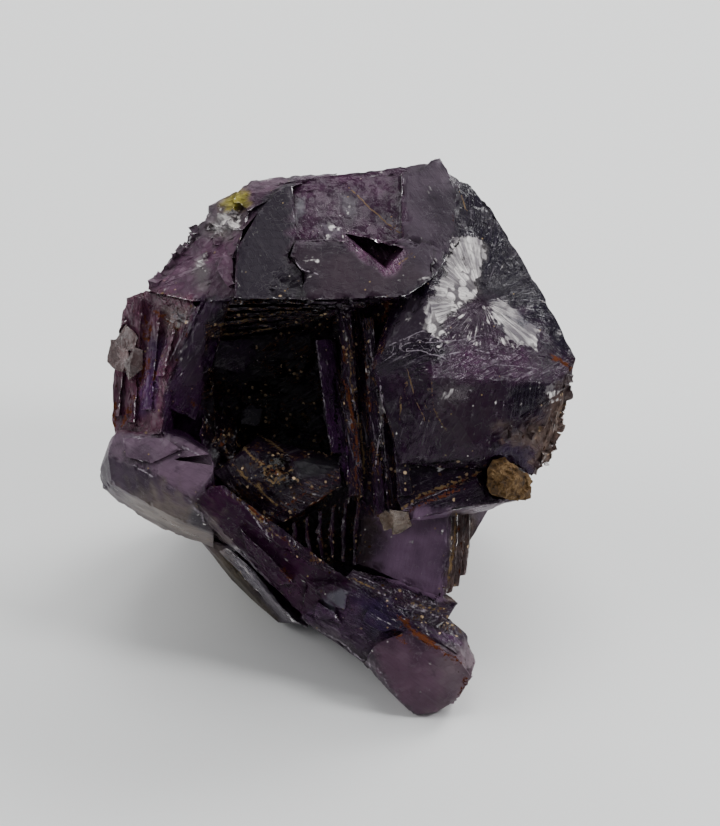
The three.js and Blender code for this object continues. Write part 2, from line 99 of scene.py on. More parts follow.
lamp("back panel", (-0.1, 1.15, 0.7), (0, 0, 0.03), 1.4, 0.7, 8.0)
lamp("left panel", (-1.1, 0.1, 0.75), (0, 0, 0.03), 1.0, 0.7, 7.0)
lamp("right panel", (0.75, 0.8, 0.9), (0, 0, 0.03), 0.45, 0.4, 12.0)
lamp("ceiling", (0.05, 0.4, 1.2), (0, 0, 0.03), 0.7, 0.7, 6.0)
lamp("window", (0.375, -0.074, 0.36), (0.012, 0, 0.034), 0.11, 0.15, 1.1, (0.98, 0.98, 1.0))
world = bpy.data.worlds.new("room light")
world.use_nodes = True
world.node_tree.nodes["Background"].inputs["Color"].default_value = (0.95, 0.97, 1.0, 1)
world.node_tree.nodes["Background"].inputs["Strength"].default_value = 0.2
bpy.context.scene.world = world

# The fluorite cluster: one mass of intergrown purple crystals, broken off its vein.
# Clear crystal, lilac where thin and nearly black where thick, with a satin or etched skin that
# differs from face to face. Grown together, so one closed body.
FACET = 0.00085  # longest edge of the worked surface on the face
BACK_FACET = 0.0022  # and behind it
BLOCKS = [(1.7, 0.13, (0.3, 0.5)), (0.8, 0.09, (0.9, 0.1))]  # cleavage blocks: size, step, tilt
BARS = [(1.3, 6.0, 0.14), (0.75, 3.2, 0.10)]  # growth bars: width, length, step
CHIP = 0.34  # how far a sharp edge is chipped back, in millimetres
CHIP_WIDE = 1.1  # and how far from the edge that reaches
SHARP = math.radians(25)


def dense_copy(name, longest, longest_behind):
    """A copy of a CAD node's mesh with no edge longer than that, and its flat faces kept flat."""
    bm = bmesh.new()
    bm.from_mesh(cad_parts[name].data)
    bmesh.ops.remove_doubles(bm, verts=bm.verts, dist=1e-6)
    for _ in range(9):
        long_edges = []
        for edge in bm.edges:
            a, b = edge.verts[0].co, edge.verts[1].co
            behind = 0.8192 * a.y - 0.5736 * (a.z - 0.0282) > 0.004
            if (a - b).length > (longest_behind if behind else longest):
                long_edges.append(edge)
        if not long_edges:
            break
        bmesh.ops.subdivide_edges(bm, edges=long_edges, cuts=1)
        bmesh.ops.triangulate(bm, faces=[f for f in bm.faces if len(f.verts) > 3])
    return bm


def scatter(cells, seed):
    """A steady stand-in for chance, from 0 to 1, for each row of whole numbers."""
    return np.abs(np.sin(cells @ np.array([12.9898, 78.233, 37.719]) + seed) * 43758.5453) % 1


def blocks(points):
    """How deep each point lies in the mosaic of small cleavage blocks, in millimetres."""
    depth = np.zeros(len(points))
    for seed, (size, step, (tilt, turn)) in enumerate(BLOCKS):
        turned = np.array(Matrix.Rotation(tilt, 3, "X") @ Matrix.Rotation(turn, 3, "Y"))
        depth += step * scatter(np.floor(points * 1000 @ turned / size), seed)
    return depth


def bars(across, along):
    """How deep each point lies among broken bars that run along the growth, in millimetres."""
    depth = np.zeros(len(across))
    for seed, (width, length, step) in enumerate(BARS):
        bar = np.floor(across / width)
        shift = scatter(np.stack([bar, bar * 0, bar * 0], 1), seed + 3)
        piece = np.floor(along / length + 9 * shift)
        depth += step * scatter(np.stack([bar, piece, piece * 0], 1), seed + 7)
    return depth


def waves(points, length, seed):
    """A smooth wander from -1 to 1 with about that wavelength, in millimetres."""
    total = np.zeros(len(points))
    for k in range(6):
        turn = seed + 2.4 * k
        way = np.array([math.cos(turn), math.sin(0.7 * seed + turn), math.cos(3.1 * seed + 1.3 * k)])
        total += np.sin(points * 1000 @ way * (2 * math.pi / length) * (0.7 + 0.25 * k) + seed * k)
    return total / 3.2


# The skin of each face, laid on in this order. A zone is an outline as seen on the face and the
# depths it lies between. Its glow is the light that comes back out of the crystal under it. It is
# rough, grainy and dirty to some amount, and its growth lines have a strength and run at an angle
# in degrees, or fan out from a point. Its border is as soft as its fray, in millimetres.
zones = []


def zone(outline, glow, rough, grain, lines, way, dirt=0.0, fray=0.3, depths=(-8, 60)):
    zones.append((outline, glow, rough, grain, lines, way, dirt, fray, depths))


EVERYWHERE = [(-60, -60), (60, -60), (60, 60), (-60, 60)]
zone(EVERYWHERE, (0.022, 0.007, 0.026), 0.32, 0.8, 0.5, 20, depths=(-60, 60))
zone(EVERYWHERE, (0.014, 0.004, 0.016), 0.28, 0.6, 0.5, 80, 0.1, depths=(-9, 60))
# the crown: a satin top in three shades, a chipped front with clear cleavages and a wedge-shaped pit
zone(
    [
        (-14.5, 18.4), (-5, 18.4), (-4.8, 22), (-6.8, 24.4), (-5.6, 27.5), (-6.2, 35), (-10.5, 33),
        (-14.5, 25.5),
    ],
    (0.014, 0.008, 0.017), 0.42, 0.1, 0.1, 95, fray=0.8,
)
zone(
    [(-5, 18.4), (9.8, 18.8), (13, 21.4), (9, 27), (-5.6, 27), (-6.8, 24.4), (-4.8, 22)],
    (0.026, 0.011, 0.022), 0.42, 0.1, 0.1, 10, fray=1.6,
)
zone(
    [
        (8.6, 25), (13, 21.4), (15.2, 24.5), (16.2, 28), (16.3, 33), (14.9, 36.6), (13.8, 38.2),
        (8.6, 37),
    ],
    (0.054, 0.033, 0.054), 0.4, 0.1, 0.15, 100, fray=1.5,
)
zone([(-6, 26.8), (8.6, 26.8), (8.6, 37), (-6, 37)], (0.076, 0.030, 0.066), 0.2, 0.6, 0.3, -20, fray=1.2)
zone([(-3, 27.4), (3, 27.2), (4, 31), (0, 34), (-4, 32)], (0.085, 0.052, 0.078), 0.2, 0.8, 0.3, -50, fray=1.6)
zone([(-5.6, 32.1), (-4.6, 32.5), (-4.7, 30.2), (-5.8, 29)], (0.18, 0.165, 0.19), 0.25, 0.4, 0.2, 60)
zone(
    [(0.1, 32.8), (2.4, 32.5), (2.6, 30.9), (1.7, 29.5), (0.5, 30.9)],
    (0.17, 0.145, 0.17), 0.25, 0.4, 0.2, 60,
)
zone([(-2.5, 29), (-1.3, 28.8), (0.5, 28), (0.3, 27.4), (-1.6, 27)], (0.16, 0.12, 0.16), 0.25, 0.4, 0.2, 0)
zone(
    [(-8.7, 18.9), (-4.8, 18.9), (-4.6, 21.4), (-7.2, 22), (-8.8, 20.4)],
    (0.003, 0.002, 0.003), 0.4, 1.8, 0.2, 0, 0.3, 1.2,
)
zone(
    [(0.2, 26.8), (1.8, 27.9), (5, 26.9), (9.6, 25.2), (8, 22.2), (6.7, 21.7), (3, 24)],
    (0.115, 0.045, 0.095), 0.2, 0.3, 0.8, -35, 0.06, depths=(-12, 60),
)
# the sugary shoulder, with its pale rim, white grains and a yellow-green patch
zone(
    [
        (-26.5, 19.6), (-14.2, 18.6), (-14.2, 25.6), (-10.7, 32), (-7, 34.8), (-7, 37), (-13, 37),
        (-24, 28),
    ],
    (0.105, 0.046, 0.085), 0.4, 1.0, 0.2, 60, 0.03, 0.6, (-14, 60),
)
zone(
    [(-25, 21), (-22.4, 24.6), (-18, 28), (-14.4, 33.6), (-9, 36.4), (-12, 38), (-30, 30)],
    (0.13, 0.10, 0.12), 0.4, 1.6, 0.1, 40, 0.03, 1.4, (-10, 60),
)
zone(
    [(-18, 27.4), (-17.6, 29.6), (-14.6, 31.2), (-12.8, 30), (-15, 27)],
    (0.21, 0.18, 0.18), 0.35, 2.2, 0, 0, 0.05, 1.0, (-9, 60),
)
zone(
    [(-16.2, 31.4), (-14.6, 33.4), (-12.4, 33.4), (-12, 31.8), (-13.6, 30.6), (-15.6, 30.6)],
    (0.29, 0.25, 0.03), 0.5, 1.8, 0, 0, 0.1, 0.7, (-9, 60),
)
zone(
    [(-20, 22.6), (-18.8, 24.6), (-17.8, 22), (-17.9, 19.6), (-19, 19.8)],
    (0.16, 0.13, 0.14), 0.35, 1.0, 0.2, 80, 0.06, 0.6,
)
# the etched face on the right: dark, with a painted silver glint of the window over its etched frosted skin
# where it faces the window, purple along its foot
HEART = (19.8, 18.4)
zone(
    [(16.2, 35), (16.2, 27.5), (14, 22.6), (8, 17.5), (6, 12.6), (20, 12), (35, 9), (40, 20), (20, 38)],
    (0.010, 0.007, 0.016), 0.24, 0.6, 1.0, HEART, fray=1.0,
)
zone(
    [(11, 16), (14.5, 21), (20, 19), (27.5, 15), (28.5, 12), (20, 11.5), (11, 12.8)],
    (0.068, 0.034, 0.064), 0.2, 0.8, 0.9, HEART, fray=1.6,
)
# the two silver patches: etched frosted skin with a painted glint of the window
zone(
    [
        (15.9, 26.6), (19, 27), (20.6, 25.4), (19.4, 22.5), (19.4, 19.3), (16.5, 16.8), (14.5, 15.2),
        (13.7, 12.7), (11.6, 14.3), (12.4, 17.6), (14.5, 21.7),
    ],
    (0.12, 0.11, 0.11), 0.2, 0.3, 0.6, HEART, fray=0.5,
)
zone(
    [
        (21, 18.4), (22.7, 18.4), (25.1, 16.4), (27.4, 14.8), (27.2, 12.3), (25.1, 11.9), (23.1, 13.5),
        (21.2, 16),
    ],
    (0.10, 0.095, 0.11), 0.2, 0.35, 0.7, HEART, fray=0.5,
)
zone(
    [
        (4, 9), (6, 12.6), (10, 14.2), (18, 12.6), (25, 11.6), (32.8, 10.6), (31.3, 7.2), (13, 7.3),
        (8, 7.5),
    ],
    (0.060, 0.018, 0.054), 0.25, 0.7, 1.0, 4, fray=1.5,
)
zone(
    [(2, 8.2), (4, 9), (6, 12.6), (9, 14.6), (14, 13.6), (15, 11), (10, 8)],
    (0.022, 0.012, 0.026), 0.15, 0.4, 1.5, (1, 6.5), fray=1.2,
)
zone(
    [(9.8, 19.3), (5.7, 11.8), (11.9, 13.2), (13, 16), (12.6, 18.6)],
    (0.046, 0.032, 0.048), 0.35, 0.2, 0.2, 60, fray=0.4,
)
# below it: a dark striped face with a dull veil, a violet window and a sugary tan border
zone(
    [(8, 7.4), (31.3, 7.2), (31.3, 2), (27, -6), (20, -3.4), (8.4, -3.8)],
    (0.016, 0.001, 0.017), 0.22, 0.4, 0.7, 88, 0.03, 0.5,
)
zone(
    [(13.5, 6.4), (22.8, 6), (23, 1), (19, -2), (14, -2)],
    (0.016, 0.004, 0.014), 0.35, 0.3, 0.3, 70, 0.03, 2.5,
)
zone(
    [(13.6, 6.8), (18.5, 7.2), (17.5, 4.8), (14.5, 3.6)],
    (0.060, 0.045, 0.055), 0.3, 1.6, 0.4, 70, 0.05, 1.2,
)
zone(
    [(23.5, 3.4), (24, 7), (28.5, 7), (28.8, 4.2), (26, 2.6)],
    (0.001, 0.000, 0.005), 0.12, 0.3, 0.4, 88, fray=0.7,
)
zone([(22, -1), (26, 0.4), (28, -2), (26, -6), (21, -4)], (0.024, 0.008, 0.036), 0.25, 0.4, 0.3, 88, fray=1.2)
zone(
    [
        (33, 10), (31, 7.4), (28.8, 5), (28.4, 1.4), (22, 1.2), (22.6, -1), (26.6, -1), (27.2, -6.4),
        (32, -6), (34, 4),
    ],
    (0.125, 0.082, 0.064), 0.4, 2.0, 0, 0, 0.25, 1.4, (-20, 60),
)
zone(
    [(7.6, -3.8), (20, -3.2), (25, -5), (25.4, -9), (18, -9.9), (9.8, -12), (7.6, -9)],
    (0.010, 0.002, 0.011), 0.18, 0.4, 0.8, 14, 0.1,
)
zone(
    [(15, -10.4), (26, -8.4), (25, -11), (19, -12)],
    (0.14, 0.10, 0.13), 0.3, 0.8, 0.3, 14, 0.05, 0.4, (-20, 60),
)
# the lilac block with its brown edge and stepped tan rim, and the slab under it
zone(
    [(2, -9.5), (15.6, -10), (15.2, -18), (14.5, -22.8), (2, -17.6)],
    (0.150, 0.088, 0.150), 0.35, 0.2, 0.2, 80, fray=0.4,
)
zone(
    [(2, -9.5), (5.4, -9.5), (6, -14), (4.6, -18.6), (2, -17.6)],
    (0.036, 0.020, 0.022), 0.35, 0.5, 0.5, 80, 0.15, 1.4,
)
zone(
    [(15.4, -10.6), (19, -11), (18.6, -17), (16.6, -22.6), (14.5, -22.8), (15.2, -18)],
    (0.11, 0.07, 0.06), 0.4, 1.2, 1.0, 84, 0.22, 0.5, (-14, 60),
)
zone(
    [
        (0, -18), (7, -20.4), (14.4, -23), (17.8, -24), (18.6, -27.6), (14.2, -27), (8, -24.6),
        (0, -20.4),
    ],
    (0.030, 0.012, 0.028), 0.3, 0.8, 1.2, -26, 0.2,
)
# the prong: dark violet above, frosted on its lower edge, pink and clear at its end
zone(
    [
        (-6, -19.6), (0, -20), (8, -24.4), (14.5, -26.8), (18.6, -29), (9, -26.8), (5, -28.6),
        (3, -31.4), (-2, -28.4), (-6, -25.8),
    ],
    (0.070, 0.026, 0.074), 0.25, 0.8, 0.9, -32, 0.08,
)
zone(
    [(3, -21), (9.8, -24.6), (9.4, -27.2), (5, -28), (2.6, -24.6)],
    (0.026, 0.014, 0.046), 0.22, 0.6, 0.6, -32, 0.05, 1.4,
)
zone(
    [(-6, -24.8), (0, -27.2), (4.2, -30.4), (9, -36.2), (11, -38.8), (3, -34), (-8, -28)],
    (0.10, 0.078, 0.095), 0.35, 1.2, 0.6, -42, 0.02, 0.7, (-14, 60),
)
zone(
    [
        (4.6, -28.4), (9, -26.8), (16.6, -30.2), (19.2, -31), (18.5, -34), (17, -36), (13.5, -38.6),
        (10.8, -38.6), (8.2, -36.2), (5.6, -32.4),
    ],
    (0.098, 0.050, 0.080), 0.35, 0.4, 0.2, -40, 0.02, 0.8,
)
zone(
    [(13, -30), (19.4, -28), (19.8, -34), (17, -38), (12, -39), (14.6, -35)],
    (0.135, 0.092, 0.112), 0.35, 0.7, 0.2, -40, 0.08, 1.6, (-14, 60),
)
zone(
    [(-3.2, -21.1), (-1, -20.3), (1.6, -21.4), (0.9, -23.9)],
    (0.14, 0.135, 0.165), 0.45, 0.3, 0.1, -50, fray=0.15,
)
zone(
    [(-2.5, -22.2), (-1.7, -22.5), (-0.3, -23.8), (-0.7, -24.3)],
    (0.12, 0.115, 0.15), 0.45, 0.3, 0.1, -50, fray=0.15,
)
# the long dark prism, its clear rim and the olive heel that it stands on
zone(
    [
        (-19.8, -9), (-17.5, -6.8), (-15.2, -6.6), (-9.2, -12.8), (-3.6, -17), (2.4, -20), (0, -21),
        (-6, -25.4), (-10.4, -20), (-14.2, -15.4), (-18.8, -11.6),
    ],
    (0.030, 0.002, 0.024), 0.32, 0.5, 0.6, -43, 0.05,
)
zone(
    [
        (-15.4, -15.4), (-14, -15), (-10.4, -19.4), (-8.4, -22.6), (-5, -25.2), (-7.4, -26.4),
        (-10, -23), (-12.6, -19.6), (-14.6, -17.2),
    ],
    (0.11, 0.095, 0.115), 0.3, 1.0, 1.0, -50, fray=0.5, depths=(-10, 60),
)
zone(
    [(-18, -15.2), (-15.6, -15.8), (-12.6, -19.6), (-10, -23), (-7.4, -26.4), (-9, -30), (-22, -24)],
    (0.075, 0.060, 0.038), 0.5, 0.6, 0.4, -50, 0.1, 0.5, (-60, -2),
)
# the pale block on the left: lilac-grey on top, whitish and warm below, with two clear facets
zone(
    [
        (-31.8, -0.6), (-30.4, 1), (-24, 0.6), (-21, -0.4), (-17.2, -2.6), (-16.8, -5), (-18.2, -7),
        (-20, -9), (-25, -5.4), (-28, -4.4), (-31.8, -2.8),
    ],
    (0.155, 0.098, 0.145), 0.38, 0.4, 0.3, -15, fray=0.6,
)
zone(
    [
        (-33.5, -2), (-28, -4.4), (-25, -5.4), (-20, -9), (-18.6, -11.6), (-14.6, -15.4), (-17, -16.6),
        (-26, -14), (-34, -9),
    ],
    (0.064, 0.038, 0.066), 0.34, 0.4, 0.3, -30, 0.02, depths=(-20, 60),
)
zone(
    [(-31, -9), (-25, -7.6), (-20, -10), (-16, -14), (-16, -17), (-26, -15)],
    (0.16, 0.125, 0.11), 0.34, 0.4, 0.3, -30, 0.03, 2.4, (-20, 60),
)
zone(
    [(-20, -9.8), (-18.2, -11.4), (-17.8, -13.4), (-20.6, -12)],
    (0.19, 0.18, 0.19), 0.3, 0.4, 0.2, -30, 0, 0.3, (-20, 60),
)
# the ribbed block above it, stained with iron, and the smooth wall that leads into the hollow
zone(
    [(-32, 0.4), (-30, 19.6), (-26, 20.2), (-20, 19), (-19.4, 17), (-24, 5), (-24, 0.2)],
    (0.125, 0.042, 0.074), 0.28, 0.6, 0.9, 84, 0.12, 0.5, (-14, 60),
)
zone(
    [(-25.8, 13.1), (-23.7, 13.5), (-25.4, 3.3), (-27.5, 2.5)],
    (0.085, 0.030, 0.105), 0.22, 0.3, 0.4, 84, 0.02, 0.8,
)
zone(
    [(-24.4, 17.6), (-20.4, 17.4), (-20.4, 15), (-23.4, 13.6)],
    (0.17, 0.12, 0.12), 0.3, 1.5, 0.4, 0, 0.2, 0.8,
)
zone(
    [
        (-24, 4.6), (-20, 17), (-18, 19), (-14.5, 18.6), (-16.6, 15), (-18, 10), (-17.8, 4), (-19, -1),
        (-24, 0.6),
    ],
    (0.036, 0.010, 0.040), 0.28, 0.5, 0.7, 70, 0.05, 0.8, (-16, 60),
)
zone(
    [(-22, 9), (-18.4, 17), (-16, 17), (-18.6, 9), (-20, 4)],
    (0.034, 0.022, 0.034), 0.35, 0.3, 0.2, 70, 0.02, 1.6, (-16, 60),
)
# the hollow: black and glassy, its near-black colour partly dark crystal and dust and partly painted shade
# deep in the recess, crusted with brown crumbs, with blades, columns and stepped plates
zone(
    [
        (-18, 15.4), (-14.4, 18.3), (9, 18.6), (6.4, 13), (4.6, 9.4), (8.4, -4), (8.4, -11), (3, -10),
        (2.6, -17), (-2, -18.6), (-9.4, -13), (-15.4, -7), (-18.4, 0), (-18.4, 8),
    ],
    (0.006, 0.002, 0.005), 0.2, 1.0, 1.0, 28, 0.5, 0.2, (-17, 6.5),
)
zone(
    [(-6.6, -12.2), (0.4, -7.6), (3.6, -7.6), (3, -18.4), (-2, -18.6), (-6.2, -16.4)],
    (0.020, 0.006, 0.018), 0.22, 0.8, 1.0, 82, 0.3, depths=(1, 60),
)
zone(
    [
        (-3.4, 13), (-0.4, 17.8), (6, 18), (6.4, 12), (5, 9), (8.4, -4), (8.6, -11), (3.4, -11),
        (-1.2, -2.8),
    ],
    (0.022, 0.006, 0.024), 0.18, 0.7, 1.4, 98, 0.35, depths=(0, 60),
)
zone(
    [(-3.4, 13.4), (-0.6, 13.4), (0.4, 3), (1.4, -6), (0, -6.4), (-1.8, 3), (-3, 9)],
    (0.060, 0.013, 0.072), 0.2, 0.3, 0.6, 98, 0.05, depths=(-4, 60),
)
zone(
    [(-17.2, 15.5), (-14.6, 18.6), (-3.6, 18.4), (-3.6, 16.4), (-17, 13.4)],
    (0.010, 0.004, 0.010), 0.25, 0.8, 1.4, 7, 0.4,
)
zone(
    [(-17.2, 12.9), (-11.4, 13.3), (-10.8, 11), (-13, 8), (-18.4, 9.6)],
    (0.012, 0.002, 0.015), 0.2, 0.5, 0.6, 20, 0.15, depths=(-12, 60),
)
zone(
    [
        (-17, -5), (-12.6, -1.6), (-11, 0.2), (-6, -1.4), (0.2, -2.7), (0.5, -7), (-6, -11.4),
        (-9.5, -13.2), (-10.6, -11.8), (-15.5, -7),
    ],
    (0.018, 0.007, 0.018), 0.28, 0.6, 0.9, -38, 0.35,
)
zone(
    [(-10.4, -1.6), (-7, -2.6), (-5, -6.6), (-8.6, -8.6), (-11, -5)],
    (0.003, 0.002, 0.001), 0.25, 2.0, 0.2, 0, 0.9, 0.8,
)
zone(
    [(-6, -3.5), (-4, -3), (0.2, -3), (0.2, -4.6), (-5, -6.3)],
    (0.020, 0.019, 0.022), 0.4, 0.3, 0.3, -10, 0.03,
)
zone(
    [(-13.5, 3.5), (-11.5, 4.6), (-10.2, 3.6), (-10.6, 1.1), (-13.3, 1.4)],
    (0.022, 0.021, 0.025), 0.4, 0.3, 0.2, 20, depths=(-9, 60),
)


def cover_of(outline, fray, u, v):
    """How much of a zone covers each place, from 0 to 1, fading over its fray."""
    hit = np.zeros(len(u), bool)
    away = np.full(len(u), 99.0)
    for (u0, v0), (u1, v1) in zip(outline, outline[1:] + outline[:1]):
        if v0 != v1:
            hit ^= ((v0 > v) != (v1 > v)) & (u < (u1 - u0) * (v - v0) / (v1 - v0) + u0)
        run = np.clip(((u - u0) * (u1 - u0) + (v - v0) * (v1 - v0)) / ((u1 - u0) ** 2 + (v1 - v0) ** 2), 0, 1)
        away = np.minimum(away, np.hypot(u - u0 - run * (u1 - u0), v - v0 - run * (v1 - v0)))
    share = np.clip(0.5 + np.where(hit, away, -away) / (2 * fray), 0, 1)
    return share * share * (3 - 2 * share)


def numbers(mesh, collection, field, width):
    values = np.zeros(len(collection) * width)
    collection.foreach_get(field, values)
    return values.reshape(-1, width)


cluster = dense_copy("fluorite_cluster", FACET, BACK_FACET)
cluster.normal_update()
edge_wear_and_highlight = np.zeros(len(cluster.verts))
creases = np.zeros(len(cluster.verts))
for edge in cluster.edges:
    bend = edge.calc_face_angle_signed(0)
    if abs(bend) > SHARP:
        for vertex in edge.verts:
            (edge_wear_and_highlight if bend > 0 else creases)[vertex.index] = 1
cluster_mesh = bpy.data.meshes.new("fluorite_cluster_crystals")
cluster.to_mesh(cluster_mesh)
cluster.free()
points = numbers(cluster_mesh, cluster_mesh.vertices, "co", 3)
normals = numbers(cluster_mesh, cluster_mesh.vertices, "normal", 3)

u, v, w = seen(points)
wander_u = waves(points, 2.6, 5) + 0.6 * waves(points, 0.9, 9)
wander_v = waves(points, 2.6, 7) + 0.6 * waves(points, 0.9, 3)
glow = np.zeros((len(points), 3))
rough, grain, lined, dirty = (np.zeros(len(points)) for _ in range(4))
zone_here = np.zeros(len(points), int)
for number, (outline, zone_glow, zone_rough, zone_grain, lines, _, dirt, fray, deep) in enumerate(zones):
    share = cover_of(outline, fray, u + 0.5 * fray * wander_u, v + 0.5 * fray * wander_v)
    share *= (w > deep[0]) & (w <= deep[1])
    glow += share[:, None] * (np.array(zone_glow) - glow)
    rough += share * (zone_rough - rough)
    grain += share * (zone_grain - grain)
    lined += share * (lines - lined)
    dirty += share * (dirt - dirty)
    zone_here[share > 0.5] = number


def growth_lines(zone_numbers, u, v, w):
    """How far each place lies across and along the growth lines of its zone."""
    across, along = np.zeros(len(u)), np.zeros(len(u))
    for number in range(len(zones)):
        here = zone_numbers == number
        way = zones[number][5]
        if isinstance(way, tuple):
            across[here] = np.arctan2(v[here] - way[1], u[here] - way[0]) * 9
            along[here] = np.hypot(u[here] - way[0], v[here] - way[1])
        else:
            cos, sin = math.cos(math.radians(way)), math.sin(math.radians(way))
            across[here] = -u[here] * sin + v[here] * cos + 0.7 * w[here]
            along[here] = u[here] * cos + v[here] * sin
    return across, along


standing_clear = points[:, 2] > 0.0002
sink = blocks(points) * grain + bars(*growth_lines(zone_here, u, v, w)) * 0.6 * np.clip(lined, 0, 1.4)
sharp = np.nonzero(edge_wear_and_highlight)[0]
edges = kdtree.KDTree(len(sharp))
for index in sharp:
    edges.insert(points[index], index)
edges.balance()
to_edge = np.array([edges.find(point)[2] for point in points]) * 1000
nicks = np.clip(0.1 + waves(points, 4.2, 4) + 0.6 * waves(points, 1.4, 6), 0, 1.3)
sink += CHIP * nicks * np.clip(1 - to_edge / CHIP_WIDE, 0, 1) ** 2
points -= normals * (sink * standing_clear)[:, None] * 0.001
points[:, 2] = np.maximum(points[:, 2], 0)
cluster_mesh.vertices.foreach_set("co", points.ravel())
cluster_mesh.update()

# Iron stains run along the cracks: each is a line on the face, and how far it spreads.
STAINS = [
    ([(-24.2, 16.3), (-22, 14.4)], 0.7), ([(-25.5, 15.5), (-26, 13)], 0.6), ([(-25, 8.5), (-25.4, 7)], 0.6),
    ([(-26.2, 10.5), (-27, 8), (-27.8, 5.5), (-29, 2.5)], 1.0), ([(-28, 17), (-26, 17.6)], 0.6),
    ([(-30.6, 4), (-30.8, 0.6)], 1.2), ([(-29.6, 14), (-29, 9)], 0.8), ([(-18.4, 25.9), (-18, 25.5)], 0.5),
    ([(11, -8.5), (15, -7), (19, -5.2)], 0.5), ([(8.5, -25), (10.5, -26.5)], 0.6),
    ([(8, -27.7), (9.5, -29)], 0.5),
    ([(11.5, -27.5), (15, -30), (16.5, -31)], 0.8), ([(-6.5, -19.5), (-7.4, -18.4)], 1.7),
    ([(16.4, -12), (17.2, -16), (16.4, -20)], 0.5), ([(-9.5, -12.5), (-5, -11), (0, -7)], 0.4),
    ([(-10.5, -3.5), (-8, -5.5)], 1.2), ([(0.6, 12), (1.4, 6), (2, 0), (2.6, -7)], 0.6),
    ([(-15.5, -0.5), (-16.5, -3)], 0.7), ([(3.6, 10), (4.2, 4), (4.8, -4)], 0.5),
    ([(15.4, 33), (15.8, 29)], 0.3),
    ([(6.5, 28.2), (8, 28)], 0.4), ([(7.2, 22.6), (7.8, 22.4)], 0.3),
    ([(-12.6, -9.4), (-9, -12.8), (-4.4, -16.8)], 0.5),
    ([(-20.4, 5), (-18, 3)], 0.8), ([(16.8, -35.4), (17.6, -33)], 0.7),
]
stain = np.zeros(len(points))
for line, spread in STAINS:
    for (u0, v0), (u1, v1) in zip(line, line[1:]):
        run = np.clip(((u - u0) * (u1 - u0) + (v - v0) * (v1 - v0)) / ((u1 - u0) ** 2 + (v1 - v0) ** 2), 0, 1)
        away = np.hypot(u - u0 - run * (u1 - u0), v - v0 - run * (v1 - v0))
        stain = np.maximum(stain, np.clip(1.15 - away / spread, 0, 1) * (w > -14))
